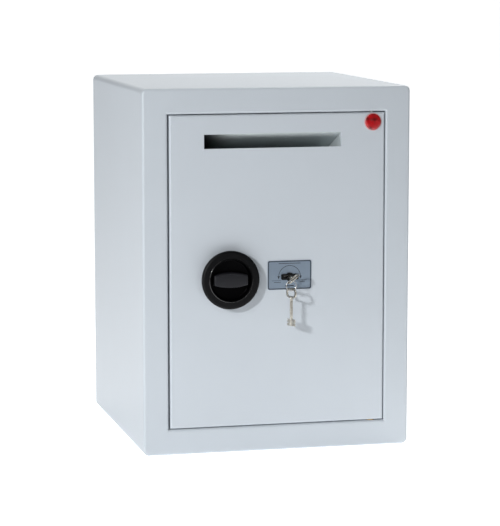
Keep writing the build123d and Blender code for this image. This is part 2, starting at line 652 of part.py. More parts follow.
def knob_grip():
    """The barrel-shaped bar across the recess that the fingers turn."""
    half = GRIP_LENGTH / 2
    y0 = FRONT - KNOB_HEIGHT - GRIP_PROUD
    upper = ThreePointArc((-half, y0, GRIP_END / 2), (0, y0, GRIP_MID / 2), (half, y0, GRIP_END / 2))
    right = Line((half, y0, GRIP_END / 2), (half, y0, -GRIP_END / 2))
    lower = ThreePointArc((half, y0, -GRIP_END / 2), (0, y0, -GRIP_MID / 2), (-half, y0, -GRIP_END / 2))
    left = Line((-half, y0, -GRIP_END / 2), (-half, y0, GRIP_END / 2))
    face = make_face(upper + right + lower + left)
    bar = extrude(face, amount=FRONT - RECESS_FLOOR - y0, dir=(0, 1, 0))
    bar = fillet(bar.faces().sort_by(Axis.Y)[0].edges(), GRIP_ROUND)
    bar = Pos(KNOB_X, 0, KNOB_Z) * bar
    return bar - rod_y(KNOB_X, KNOB_Z, SPINDLE_R, FRONT - KNOB_HEIGHT + SPINDLE_SINK, FRONT)


def hard_plate():
    """The drill-resisting plate behind the lock and spindle."""
    plate = block(PLATE_LEFT, PLATE_RIGHT, FACE_BACK, LOCK_FRONT, PLATE_BOTTOM, PLATE_TOP)
    plate -= rod_y(KNOB_X, KNOB_Z, SPINDLE_R + BUSH_WALL, FACE_BACK - 1, LOCK_FRONT + 1)
    plate -= key_passage(FACE_BACK, LOCK_FRONT)
    for x, z in lock_screw_places():
        plate -= rod_y(x, z, LOCK_SCREW_R, LOCK_FRONT - LOCK_SCREW_GRIP, LOCK_FRONT + 1)
    return plate


def lock_screw_places():
    """Centres of the four lock screws."""
    xs = (LOCK_LEFT + LOCK_CORNER, LOCK_RIGHT - LOCK_CORNER)
    return [(x, z) for x in xs for z in (LOCK_BOTTOM + LOCK_CORNER, LOCK_TOP - LOCK_CORNER)]


def lock_case():
    """The lock's deep tray, with solid corners for its screws."""
    case = block(LOCK_LEFT, LOCK_RIGHT, LOCK_FRONT, LOCK_BACK, LOCK_BOTTOM, LOCK_TOP)
    hollow = block(LOCK_LEFT + LOCK_WALL, LOCK_RIGHT - LOCK_WALL, LOCK_FRONT + LOCK_WALL, LOCK_BACK + 1,
                   LOCK_BOTTOM + LOCK_WALL, LOCK_TOP - LOCK_WALL)
    for x, z in lock_screw_places():
        hollow -= block(x - LOCK_CORNER, x + LOCK_CORNER, LOCK_FRONT, LOCK_BACK + 1,
                        z - LOCK_CORNER, z + LOCK_CORNER)
    case -= hollow
    case -= rod_y(KEY_X, KEY_Z, CURTAIN_R - CURTAIN_STEP + RUNNING,
                  LOCK_FRONT - 1, LOCK_FRONT + LOCK_WALL + 1)
    case -= lock_bolt_block(CLEAR, LOCK_BOTTOM - 1, LOCK_BOTTOM + LOCK_WALL + 1)
    for x, z in lock_screw_places():
        case -= rod_y(x, z, LOCK_SCREW_R, LOCK_FRONT - 1, LOCK_BACK + 1)
    return case


def lock_bolt_block(growth, z0, z1):
    """The lock bolt's section, grown for clearance."""
    half_x = LOCK_BOLT_WIDTH / 2 + growth
    half_y = LOCK_BOLT_THICK / 2 + growth
    return block(LOCK_BOLT_X - half_x, LOCK_BOLT_X + half_x, BOLT_Y - half_y, BOLT_Y + half_y, z0, z1)


def lock_bolt():
    """The bar that drops into the carrier's notch."""
    tip = ARM_TOP + 0.35
    bolt = lock_bolt_block(0, tip, tip + LOCK_BOLT_LENGTH)
    return chamfer(bolt.edges().filter_by(Axis.Y).group_by(Axis.Z)[0], EDGE_BREAK)


def lock_cover():
    """The lock's back plate."""
    cover = block(LOCK_LEFT, LOCK_RIGHT, LOCK_BACK, LOCK_BACK + LOCK_COVER, LOCK_BOTTOM, LOCK_TOP)
    for x, z in lock_screw_places():
        cover -= rod_y(x, z, LOCK_SCREW_R, LOCK_BACK - 1, LOCK_BACK + LOCK_COVER + 1)
    return cover


def lock_screws():
    """Four long screws that hold the cover and the case to the hard plate."""
    screws = []
    back = LOCK_BACK + LOCK_COVER
    for x, z in lock_screw_places():
        head = rod_y(x, z, LOCK_HEAD_R, back, back + LOCK_HEAD)
        screws.append(head + rod_y(x, z, LOCK_SCREW_R, LOCK_FRONT - LOCK_SCREW_GRIP, back))
    return screws


def lock_levers():
    """Four thin levers that the key's bits lift, stacked round the key's sweep."""
    levers = []
    for i in range(LEVER_COUNT):
        y0 = BIT_START + i * BIT_LENGTH / LEVER_COUNT + 0.3
        lever = block(LOCK_LEFT + 14, LOCK_BOLT_X - LOCK_BOLT_WIDTH / 2 - 1.5, y0, y0 + LEVER_SHEET,
                      LOCK_BOTTOM + LOCK_WALL + 0.6, LOCK_TOP - LOCK_WALL - 2 * LOCK_CORNER)
        levers.append(lever - rod_y(KEY_X, KEY_Z, BIT_WIDTH / 2 + 1.2, y0 - 1, y0 + LEVER_SHEET + 1))
    return levers


def curtain():
    """The slotted drum that turns with the key and closes the keyhole behind it."""
    y1 = BIT_START - 1.0
    drum = rod_y(KEY_X, KEY_Z, CURTAIN_R, LOCK_FRONT + LOCK_WALL + CLEAR, y1)
    drum += rod_y(KEY_X, KEY_Z, CURTAIN_R - CURTAIN_STEP,
                  LOCK_FRONT + CLEAR, LOCK_FRONT + LOCK_WALL + CLEAR)
    drum -= keyhole(BIT_WIDTH + 1.0, BIT_SHEET + 0.6, KEY_SHAFT_R, LOCK_FRONT - 1, y1 + 1)
    return turn_with_key(drum)


def turn_with_key(shape):
    """Turn a piece about the keyhole's axis to the angle that the key stands at."""
    return Pos(KEY_X, 0, KEY_Z) * Rot(0, -KEY_TURN, 0) * Pos(-KEY_X, 0, -KEY_Z) * shape


def lock_label():
    """The thin plate round the keyhole."""
    mid_z = KEY_Z + LABEL_RISE
    plate = block(KEY_X - LABEL_WIDTH / 2, KEY_X + LABEL_WIDTH / 2, FRONT - LABEL_THICK, FRONT,
                  mid_z - LABEL_HEIGHT / 2, mid_z + LABEL_HEIGHT / 2)
    plate = fillet(long_edges(plate), 3.0)
    return plate - key_passage(FRONT - LABEL_THICK, FRONT)


def keyhole_bezel():
    """The dark raised rim of the keyhole."""
    y1 = FRONT - LABEL_THICK
    y0 = y1 - BEZEL_THICK
    rim = keyhole(BEZEL_WIDTH, BEZEL_HEIGHT, BEZEL_R, y0, y1)
    rim = fillet(rim.edges().filter_by(Axis.Y).group_by(Axis.X)[0], BEZEL_CORNER)
    rim = fillet(rim.edges().filter_by(Axis.Y).group_by(Axis.X)[-1], BEZEL_CORNER)
    return rim - keyhole(BIT_WIDTH + 2, KEYHOLE_HEIGHT - 2 * CLEAR, KEY_SHAFT_R + KEYHOLE_ROUND_GAP - CLEAR,
                         y0 - 1, y1 + 1)


def loose_key():
    """A flat key with its bow's shoulder at the origin, its shaft along +Y and its width along X."""
    bow = Pos(0, -BOW_LENGTH / 2, 0) * Box(BOW_WIDTH, BOW_LENGTH, BOW_SHEET)
    bow = fillet(bow.edges().filter_by(Axis.Z), BOW_LENGTH * BOW_ROUND)
    hole_length = BOW_LENGTH - 2 * BOW_RIM
    hole = Pos(0, -BOW_LENGTH / 2, 0) * Box(BOW_WIDTH - 2 * BOW_RIM, hole_length, BOW_SHEET * 2)
    hole = fillet(hole.edges().filter_by(Axis.Z), hole_length * BOW_ROUND)
    shaft = Pos(0, (KEY_SHAFT_LENGTH - SHAFT_ROOT) / 2, 0) * Rot(90, 0, 0) * Cylinder(
        KEY_SHAFT_R, KEY_SHAFT_LENGTH + SHAFT_ROOT)
    shaft = chamfer(shaft.edges().sort_by(Axis.Y)[-1], EDGE_BREAK)
    bit_y = KEY_SHAFT_LENGTH - BIT_LENGTH / 2 - BIT_END
    bit = Pos(0, bit_y, 0) * Box(BIT_WIDTH, BIT_LENGTH, BIT_SHEET)
    for side in (-1, 1):
        for step, depth in BIT_CUTS:
            cut = Box(2 * depth, BIT_LENGTH * BIT_CUT_SHARE, BIT_SHEET + 2)
            bit -= Pos(side * BIT_WIDTH / 2, bit_y + step * BIT_LENGTH, 0) * cut
    return bow - hole + shaft + bit


def key():
    """The key standing in the lock, part turned."""
    return turn_with_key(Pos(KEY_X, FRONT - KEY_STAND_OFF, KEY_Z) * loose_key())


def ring_top():
    """Where the ring's wire passes through the bow of the key in the lock."""
    reach = BOW_WIDTH / 2 - BOW_RIM - RING_SLACK
    turn = math.radians(KEY_TURN)
    y = FRONT - KEY_STAND_OFF - BOW_LENGTH / 2
    return (KEY_X - reach * math.cos(turn), y, KEY_Z - reach * math.sin(turn))


def key_ring():
    """The ring that joins the two keys, hanging from the bow."""
    x, y, z = ring_top()
    return Pos(x, y, z - RING_R) * Rot(90, 0, 0) * Torus(RING_R, WIRE_R)


def spare_key():
    """The second key, hanging by its bow from the bottom of the ring."""
    x, y, z = ring_top()
    shoulder = z - 2 * RING_R + WIRE_R + 2 * CLEAR + BOW_RIM - BOW_LENGTH
    return Pos(x, y, shoulder) * Rot(0, 0, SPARE_TWIST) * Rot(-90, 0, 0) * loose_key()


def badge():
    """A plain domed badge in the door's top corner."""
    x = DOOR_RIGHT - BADGE_INSET_X
    z = DOOR_TOP - BADGE_INSET_Z
    disc = rod_y(x, z, BADGE_R, FRONT - BADGE_THICK, FRONT)
    return fillet(disc.edges().sort_by(Axis.Y)[0], BADGE_THICK - 1.0)


os.makedirs("parts", exist_ok=True)

save("body_shell", body_shell())
save("back_panel", back_panel())
save("base_plate", base_plate())
save("stop_frame", stop_frame())
save("keeper_bar", keeper_bar())
save("hinge_blocks", *hinge_blocks())
save("pivot_pins", *pivot_pins())
save("thrust_washer", thrust_washer())

save("door_pan", door_pan())
save("door_bushes", *door_bushes())
save("hinge_dogs", *hinge_dogs())
save("door_rails", *drilled_rails())
save("boltwork_cover", boltwork_cover())
save("cover_screws", *cover_screws())
save("chute_roof", chute_roof())
save("chute_floor", chute_floor())
save("chute_cheeks", *chute_cheeks())
save("hard_plate", hard_plate())
save("bolt_guides", *bolt_guides())
save("arm_guide", arm_guide())
save("spindle_bush", spindle_bush())
save("knob_rosette", knob_rosette())
save("badge", badge())

save("locking_bolts", *locking_bolts())
save("bolt_rivets", *bolt_rivets())
save("bolt_carrier", bolt_carrier())

save("knob_dish", knob_dish())
save("knob_grip", knob_grip())
save("knob_spindle", knob_spindle())
save("pinion", pinion())
save("retaining_ring", retaining_ring())

save("lock_case", lock_case())
save("lock_cover", lock_cover())
save("lock_screws", *lock_screws())
save("lock_levers", *lock_levers())
save("lock_bolt", lock_bolt())
save("curtain", curtain())
save("lock_label", lock_label())
save("keyhole_bezel", keyhole_bezel())

save("key", key())
save("key_ring", key_ring())
save("spare_key", spare_key())
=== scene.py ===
import json
import math

import bmesh
import bpy
from mathutils import Matrix, Vector


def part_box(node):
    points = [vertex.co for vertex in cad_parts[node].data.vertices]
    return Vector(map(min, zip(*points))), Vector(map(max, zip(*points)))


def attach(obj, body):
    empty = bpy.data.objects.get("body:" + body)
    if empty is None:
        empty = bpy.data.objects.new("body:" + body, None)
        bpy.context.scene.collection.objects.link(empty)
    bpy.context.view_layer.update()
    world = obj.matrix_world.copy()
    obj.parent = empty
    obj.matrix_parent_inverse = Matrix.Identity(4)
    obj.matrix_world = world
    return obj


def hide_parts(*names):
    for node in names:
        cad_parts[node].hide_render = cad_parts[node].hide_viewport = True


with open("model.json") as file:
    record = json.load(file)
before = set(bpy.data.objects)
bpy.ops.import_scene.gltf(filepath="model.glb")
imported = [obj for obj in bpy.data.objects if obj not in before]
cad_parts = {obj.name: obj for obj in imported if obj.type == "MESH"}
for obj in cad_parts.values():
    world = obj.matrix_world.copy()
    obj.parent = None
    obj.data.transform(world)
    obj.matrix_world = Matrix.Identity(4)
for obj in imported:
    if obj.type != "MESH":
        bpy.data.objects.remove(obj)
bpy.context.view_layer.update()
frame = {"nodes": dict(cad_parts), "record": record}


# ---- Casing: the folded sheet wrap, its back, its base doubler and the strips inside ----
# Three millimetre steel, folded and welded, then powder coated in a light grey with a fine orange
# peel. The coat picks up dust where it lies flat.

class Value:
    """One output of a material's node, so that sums on it read as ordinary sums."""

    def __init__(self, finish, socket):
        self.finish = finish
        self.socket = socket

    def sum(self, operation, first, second):
        return self.finish.node("ShaderNodeMath", {"operation": operation}, {0: first, 1: second})

    def __add__(self, other):
        return self.sum("ADD", self, other)

    def __radd__(self, other):
        return self.sum("ADD", other, self)

    def __sub__(self, other):
        return self.sum("SUBTRACT", self, other)

    def __rsub__(self, other):
        return self.sum("SUBTRACT", other, self)

    def __mul__(self, other):
        return self.sum("MULTIPLY", self, other)

    def __rmul__(self, other):
        return self.sum("MULTIPLY", other, self)


class Finish:
    """A material under construction: its shader, and a way to add any other node."""

    def __init__(self, name, **shader):
        self.material = bpy.data.materials.new(name)
        self.material.use_nodes = True
        self.tree = self.material.node_tree
        self.shader = self.tree.nodes["Principled BSDF"]
        self.place = self.node("ShaderNodeTexCoord", out="Object")
        for label, value in shader.items():
            self.shader.inputs[label.replace("_", " ")].default_value = value

    def node(self, kind, settings=None, inputs=None, out=0):
        node = self.tree.nodes.new(kind)
        for label, value in (settings or {}).items():
            if label == "stops":
                self.ramp(node, value)
            else:
                setattr(node, label, value)
        for label, value in (inputs or {}).items():
            if isinstance(value, Value):
                self.tree.links.new(value.socket, node.inputs[label])
            else:
                node.inputs[label].default_value = value
        return Value(self, node.outputs[out])

    def ramp(self, node, stops):
        elements = node.color_ramp.elements
        while len(elements) < len(stops):
            elements.new(0.5)
        for element, (position, colour) in zip(elements, stops):
            element.position = position
            element.color = colour if len(colour) == 4 else (*colour, 1.0)

    def noise(self, scale, detail=2.0, roughness=0.5, stretch=(1, 1, 1)):
        """Smooth random values from 0 to 1. scale is in cells per metre."""
        spot = self.node("ShaderNodeVectorMath", {"operation": "MULTIPLY"}, {0: self.place, 1: stretch})
        return self.node("ShaderNodeTexNoise", {}, {"Vector": spot, "Scale": scale, "Detail": detail,
                                                    "Roughness": roughness})

    def grade(self, value, low, high):
        """0 below low, 1 above high, smooth between."""
        return self.node("ShaderNodeMapRange", {"interpolation_type": "SMOOTHSTEP"},
                         {"Value": value, "From Min": low, "From Max": high})

    def blend(self, share, first, second):
        """A colour part way from first to second."""
        colours = {6: first if isinstance(first, Value) else (*first, 1.0),
                   7: second if isinstance(second, Value) else (*second, 1.0)}
        return self.node("ShaderNodeMix", {"data_type": "RGBA"}, {0: share, **colours}, out=2)

    def feed(self, label, value):
        self.tree.links.new(value.socket, self.shader.inputs[label])

    def bump(self, height, distance, strength=1.0):
        """Relief of a real height in metres."""
        self.feed("Normal", self.node("ShaderNodeBump", {}, {"Height": height, "Distance": distance,
                                                             "Strength": strength}))


def dress(finish, *names):
    """Give carried-over parts a finish."""
    for name in names:
        mesh = frame["nodes"][name].data
        mesh.materials.clear()
        mesh.materials.append(finish.material)


def powder_coat(name, colour, gloss=0.40):
    """Sprayed and baked powder: a fine orange peel, faint clouding and a little dust on what faces up."""
    coat = Finish(name, Roughness=gloss, Specular_IOR_Level=0.5)
    peel = coat.noise(430.0, 3.0, 0.55)
    grit = coat.noise(2600.0, 2.0, 0.6)
    clouds = coat.noise(7.0, 3.0, 0.55)
    facing = coat.node("ShaderNodeNewGeometry", out="Normal")
    up = coat.node("ShaderNodeSeparateXYZ", {}, {"Vector": facing}, out="Z")
    dust = coat.grade(up, 0.6, 1.0) * coat.grade(coat.noise(60.0, 5.0, 0.7), 0.48, 0.75)
    lighter = tuple(c * 1.03 for c in colour)
    darker = tuple(c * 0.965 for c in colour)
    tone = coat.blend(clouds, darker, lighter)
    coat.feed("Base Color", coat.blend(dust * 0.16, tone, (0.78, 0.77, 0.74)))
    coat.feed("Roughness", gloss - 0.03 + clouds * 0.05 + grit * 0.04 + dust * 0.15)
    coat.bump(peel * 0.8 + grit * 0.2, 0.00009)
    return coat


CASING_GREY = (0.545, 0.593, 0.640)
casing_coat = powder_coat("casing_powder_coat", CASING_GREY)
dress(casing_coat, "body_shell", "back_panel", "base_plate", "stop_frame", "keeper_bar", "hinge_blocks")


# ---- Hinge: two fixed pins in bronze bushes, with a thrust washer under the door ----
# The pins are ground steel, the bushes and the washer are sintered bronze, turned to size.

def turned_metal(name, colour, roughness=0.28, ring_scale=1500.0, axis=(1, 0, 0)):
    """Metal turned or drawn along an axis: fine lines across it, faint stains and small nicks."""
    metal = Finish(name, Metallic=1.0, Roughness=roughness)
    stretch = tuple(1.0 if along else 0.04 for along in axis)
    lines = metal.noise(ring_scale, 3.0, 0.6, stretch)
    stains = metal.noise(45.0, 4.0, 0.6)
    nicks = metal.grade(metal.noise(900.0, 2.0, 0.5), 0.68, 0.74)
    dull = tuple(c * 0.72 for c in colour)
    metal.feed("Base Color", metal.blend(metal.grade(stains, 0.35, 0.8) * 0.6 + nicks * 0.3, colour, dull))
    metal.feed("Roughness", roughness - 0.05 + lines * 0.12 + stains * 0.08)
    metal.bump(lines - nicks * 0.5, 0.00002)
    return metal


STEEL = (0.60, 0.60, 0.59)
BRONZE = (0.52, 0.36, 0.17)
pin_steel = turned_metal("ground_pin_steel", STEEL, axis=(0, 0, 1))
bush_bronze = turned_metal("sintered_bronze", BRONZE, 0.42, axis=(0, 0, 1))
dress(pin_steel, "pivot_pins")
dress(bush_bronze, "door_bushes", "thrust_washer")


# ---- Door: the folded pan with its rails, its hard plate and the sloping deposit chute ----
# The casing's powder coat, from another batch, over welded-on rails and chute. The hard plate is
# as rolled. The chute's roof is painted a lighter grey, to stand for light reaching it, and the
# underside of the roof is painted dark at its left end, to stand for shade.

DOOR_GREY = (0.555, 0.602, 0.650)
CHUTE_GREY = (0.50, 0.55, 0.57)
# The roof's grey is lighter than the coat elsewhere: painted light, for light that reaches the roof.
ROOF_PAINTED_LIGHT_GREY = (0.70, 0.76, 0.77)
SHADE_BLACK = (0.018, 0.020, 0.021)
SHADE_FULL = 0.006
SHADE_GONE = 0.062
door_coat = powder_coat("door_powder_coat", DOOR_GREY, 0.39)
chute_coat = powder_coat("chute_powder_coat", CHUTE_GREY, 0.42)
roof_coat_painted_light_and_shade = powder_coat("roof_powder_coat_painted_light_and_shade", ROOF_PAINTED_LIGHT_GREY, 0.42)
roof_left = min(vertex.co.x for vertex in frame["nodes"]["chute_roof"].data.vertices)
across_roof = roof_coat_painted_light_and_shade.node("ShaderNodeSeparateXYZ", {}, {"Vector": roof_coat_painted_light_and_shade.place}, out="X")
unshaded = roof_coat_painted_light_and_shade.grade(across_roof, roof_left + SHADE_FULL, roof_left + SHADE_GONE)
roof_facing = roof_coat_painted_light_and_shade.node("ShaderNodeNewGeometry", out="Normal")
roof_up = roof_coat_painted_light_and_shade.node("ShaderNodeSeparateXYZ", {}, {"Vector": roof_facing}, out="Z")
underside = 1.0 - roof_coat_painted_light_and_shade.grade(roof_up, -0.6, -0.3)
roof_painted_light_tone = Value(roof_coat_painted_light_and_shade, roof_coat_painted_light_and_shade.shader.inputs["Base Color"].links[0].from_socket)
roof_coat_painted_light_and_shade.feed("Base Color", roof_coat_painted_light_and_shade.blend(underside * (1.0 - unshaded), roof_painted_light_tone, SHADE_BLACK))
dress(door_coat, "door_pan", "door_rails")
dress(roof_coat_painted_light_and_shade, "chute_roof")
dress(chute_coat, "chute_floor", "chute_cheeks")

scale_plate = Finish("rolled_hard_plate", Metallic=0.8, Roughness=0.55)
scale_spots = scale_plate.grade(scale_plate.noise(70.0, 6.0, 0.65), 0.42, 0.62)
scale_plate.feed("Base Color", scale_plate.blend(scale_spots, (0.07, 0.072, 0.08), (0.16, 0.15, 0.145)))
scale_plate.feed("Roughness", 0.42 + scale_spots * 0.2)
scale_plate.bump(scale_plate.noise(600.0, 4.0, 0.6), 0.00006)
dress(scale_plate, "hard_plate")


# ---- Boltwork cover, bolt guides and carrier: bright zinc-plated sheet ----
# Cut from plated sheet, so the faces show long rolling lines and a faint bluish cast.

def zinc_plate(name, colour, run=(1, 0.03, 0.03)):
    """Zinc-plated sheet with rolling lines along one way."""
    zinc = Finish(name, Metallic=1.0, Roughness=0.36)
    lines = zinc.noise(1400.0, 3.0, 0.6, run)
    cast = zinc.noise(11.0, 4.0, 0.55)
    marks = zinc.grade(zinc.noise(140.0, 5.0, 0.7), 0.60, 0.72)
    cool = tuple(c * f for c, f in zip(colour, (0.90, 0.96, 1.02)))
    tone = zinc.blend(zinc.grade(cast, 0.3, 0.7), colour, cool)
    zinc.feed("Base Color", zinc.blend(marks * 0.25, tone, tuple(c * 0.6 for c in colour)))
    zinc.feed("Roughness", 0.30 + lines * 0.14 + cast * 0.08)
    zinc.bump(lines, 0.000018)
    return zinc


ZINC = (0.58, 0.59, 0.59)
cover_zinc = zinc_plate("cover_zinc", ZINC, (0.03, 1, 1))
guide_zinc = zinc_plate("guide_zinc", tuple(c * 0.92 for c in ZINC), (1, 1, 0.03))
dress(cover_zinc, "boltwork_cover")
dress(guide_zinc, "bolt_carrier", "bolt_guides", "arm_guide")


# ---- Cover screws: six pan-head screws with a cross recess ----
# Cold-headed steel, zinc plated. Each head is domed with a rolled rim, and its recess is punched.

def finish_mesh(name, shape, finish, smooth_angle=35.0):
    """Turn a bmesh into an object with a finish, smooth except across sharp folds."""
    bmesh.ops.recalc_face_normals(shape, faces=shape.faces)
    mesh = bpy.data.meshes.new(name)
    for edge in shape.edges:
        if len(edge.link_faces) == 2:
            edge.smooth = edge.calc_face_angle(0.0) < math.radians(smooth_angle)
    for face in shape.faces:
        face.smooth = True
    shape.to_mesh(mesh)
    shape.free()
    mesh.materials.append(finish.material)
    piece = bpy.data.objects.new(name, mesh)
    bpy.context.scene.collection.objects.link(piece)
    return piece


def lathe(shape, profile, centre, steps=96, axis="Y"):
    """Add a turned form to a bmesh. Each point of the profile is a radius and a place along the axis."""
    rings = []
    for radius, along in profile:
        if radius == 0:
            spots = [(0.0, 0.0)]
        else:
            turn = 2 * math.pi / steps
            spots = [(radius * math.cos(i * turn), radius * math.sin(i * turn)) for i in range(steps)]
        if axis == "Y":
            ring = [shape.verts.new((centre[0] + a, along, centre[2] + b)) for a, b in spots]
        elif axis == "X":
            ring = [shape.verts.new((along, centre[1] + a, centre[2] + b)) for a, b in spots]
        else:
            ring = [shape.verts.new((centre[0] + a, centre[1] + b, along)) for a, b in spots]
        rings.append(ring)
    for first, second in zip(rings, rings[1:]):
        for i in range(steps):
            j = (i + 1) % steps
            if len(first) == 1 and len(second) == 1:
                continue
            if len(first) == 1:
                shape.faces.new((first[0], second[j], second[i]))
            elif len(second) == 1:
                shape.faces.new((first[i], first[j], second[0]))
            else:
                shape.faces.new((first[i], first[j], second[j], second[i]))
    return rings


def rounded(start, corner, end, radius, steps=6):
    """Points of a round corner between two straight stretches of a profile."""
    into = (Vector(start) - Vector(corner)).normalized()
    out = (Vector(end) - Vector(corner)).normalized()
    half = into.angle(out) / 2
    reach = radius / math.tan(half)
    hub = Vector(corner) + (into + out).normalized() * (radius / math.sin(half))
    a = Vector(corner) + into * reach - hub
    b = Vector(corner) + out * reach - hub
    points = []
    for i in range(steps + 1):
        t = i / steps
        angle = a.angle(b)
        mix = (a * math.sin((1 - t) * angle) + b * math.sin(t * angle)) / math.sin(angle)
        points.append(tuple(hub + mix))
    return points


def soft_profile(corners):
    """A profile whose inner corners are rounded. Each corner is a radius, a place and a rounding."""
    points = [corners[0][:2]]
    for before, here, after in zip(corners, corners[1:], corners[2:]):
        if here[2] > 0:
            points += rounded(before[:2], here[:2], after[:2], here[2])
        else:
            points.append(here[:2])
    points.append(corners[-1][:2])
    return points


screw_low, screw_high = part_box("cover_screws")
head_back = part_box("boltwork_cover")[1].y
head_front = screw_high.y
HEAD_R = 0.0045
SHANK_R = 0.0024
RECESS_SPAN = 0.0027
RECESS_WIDTH = 0.0008
RECESS_DEPTH = 0.0014
ARM_SHARE = 0.94
TAPER = 0.55
screw_zinc = turned_metal("screw_zinc", (0.62, 0.62, 0.60), 0.30, 1800.0, (0, 1, 0))
screws = bmesh.new()
screw_row = (screw_low.x + HEAD_R, (screw_low.x + screw_high.x) / 2, screw_high.x - HEAD_R)
for screw_z in (screw_low.z + HEAD_R, screw_high.z - HEAD_R):
    for screw_x in screw_row:
        dome = soft_profile([(0, screw_low.y, 0), (SHANK_R, screw_low.y, 0), (SHANK_R, head_back, 0),
                             (HEAD_R, head_back, 0.0003), (HEAD_R, head_front - 0.0003, 0.0012),
                             (RECESS_SPAN, head_front, 0)])
        lathe(screws, dome, (screw_x, 0, screw_z), 48)
        # The punched cross: a floor, four arms and the top left between them.
        arms = []
        for corner in range(4):
            turn = Matrix.Rotation(corner * math.pi / 2, 2)
            for a, b in ((RECESS_WIDTH, RECESS_WIDTH), (RECESS_SPAN * ARM_SHARE, RECESS_WIDTH),
                         (RECESS_SPAN * ARM_SHARE, -RECESS_WIDTH)):
                arms.append(turn @ Vector((a, b)))
        order = sorted(arms, key=lambda spot: math.atan2(spot.y, spot.x))
        rim = [screws.verts.new((screw_x + s.x, head_front, screw_z + s.y)) for s in order]
        punched = head_front - RECESS_DEPTH
        floor = [screws.verts.new((screw_x + s.x * TAPER, punched, screw_z + s.y * TAPER)) for s in order]
        for i in range(len(order)):
            j = (i + 1) % len(order)
            screws.faces.new((rim[i], rim[j], floor[j], floor[i]))
        screws.faces.new(floor)
        edge = [v for v in screws.verts if abs((v.co.x - screw_x) ** 2 + (v.co.z - screw_z) ** 2
                                               - RECESS_SPAN ** 2) < 1e-9 and abs(v.co.y - head_front) < 1e-7]
        loops = [e for e in screws.edges if e.is_boundary and all(v in edge or v in rim for v in e.verts)]
        bmesh.ops.bridge_loops(screws, edges=loops)
cover_screw_heads = finish_mesh("cover_screw_heads", screws, screw_zinc)
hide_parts("cover_screws")
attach(cover_screw_heads, "door")


# ---- Bolts, rivets, dogs, spindle and pinion: ground and machined steel ----
# Round bar turned across its length, so its lines run round it. The gear and the spring ring are
# oiled and darker.

bar_steel = turned_metal("ground_bar_steel", STEEL, 0.22, 1500.0, (1, 0, 0))
shaft_steel = turned_metal("turned_shaft_steel", tuple(c * 0.9 for c in STEEL), 0.26, 1500.0, (0, 1, 0))
oiled_steel = turned_metal("oiled_gear_steel", (0.33, 0.33, 0.34), 0.34, 1200.0, (0, 1, 0))
dress(bar_steel, "locking_bolts", "hinge_dogs")
dress(shaft_steel, "knob_spindle", "bolt_rivets")
dress(oiled_steel, "pinion", "retaining_ring")
spindle_bronze = turned_metal("spindle_bronze", BRONZE, 0.38, 1500.0, (0, 1, 0))
dress(spindle_bronze, "spindle_bush")
dress(oiled_steel, "curtain")


# ---- Lock: a plated case with its cover, screws, levers and bolt ----
# A pressed case, zinc plated, and a cover held by four long screws. The levers are plated too, and the bolt is
# bare steel.

lock_zinc = zinc_plate("lock_case_zinc", tuple(c * 0.95 for c in ZINC), (1, 1, 0.04))
dress(lock_zinc, "lock_case", "lock_cover", "lock_levers")
lock_steel = turned_metal("lock_bolt_steel", STEEL, 0.25, 1500.0, (0, 0, 1))
dress(lock_steel, "lock_bolt", "lock_screws")


# ---- Knob: a black moulded dish with a barrel-shaped grip across it, on a thin base ring ----
# Glass-filled nylon. The rim is spark-eroded to a matt grain, and a smooth bead that shines runs
# round the recess. The grip is a separate moulding with a finer grain.

def moulded_plastic(name, colour, roughness, grain, depth, shine=0.25):
    """Black moulded plastic with a spark-eroded grain."""
    plastic = Finish(name, Roughness=roughness, Specular_IOR_Level=shine)
    pits = plastic.noise(grain, 2.0, 0.55)
    sheen = plastic.noise(24.0, 3.0, 0.6)
    touched = plastic.grade(plastic.noise(90.0, 4.0, 0.65), 0.55, 0.75)
    darker = tuple(c * 0.85 for c in colour)
    lighter = tuple(c * 1.2 for c in colour)
    plastic.feed("Base Color", plastic.blend(sheen, darker, lighter))
    plastic.feed("Roughness", roughness - 0.04 + sheen * 0.08 - touched * 0.05)
    plastic.bump(pits, depth)
    return plastic


dish_low, dish_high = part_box("knob_dish")
grip_low, grip_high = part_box("knob_grip")
knob_centre = (dish_low + dish_high) / 2
KNOB_R = (dish_high.x - dish_low.x) / 2
RECESS_R = 0.035
SPINDLE_R = 0.005
BEAD_R = RECESS_R + 0.0016
BEAD_RISE = 0.0008
BEAD_FOOT = RECESS_R + 0.0003
DISH_STEPS = 160
rim_plastic = moulded_plastic("knob_rim_plastic", (0.0012, 0.0014, 0.0020), 0.45, 1500.0, 0.00005, 0.18)
bead_plastic = moulded_plastic("knob_bead_plastic", (0.0030, 0.0030, 0.0036), 0.16, 300.0, 0.000006, 0.8)
# The recess's plastic is coloured darker than the rim, which is painted shade in the recess. Its smoother, less
# shiny finish is its own.
recess_painted_shade_plastic = moulded_plastic("knob_recess_painted_shade_plastic", (0.0006, 0.0006, 0.0009), 0.36, 900.0, 0.00002, 0.05)
grip_plastic = moulded_plastic("knob_grip_plastic", (0.0125, 0.0130, 0.0158), 0.48, 2200.0, 0.00004)

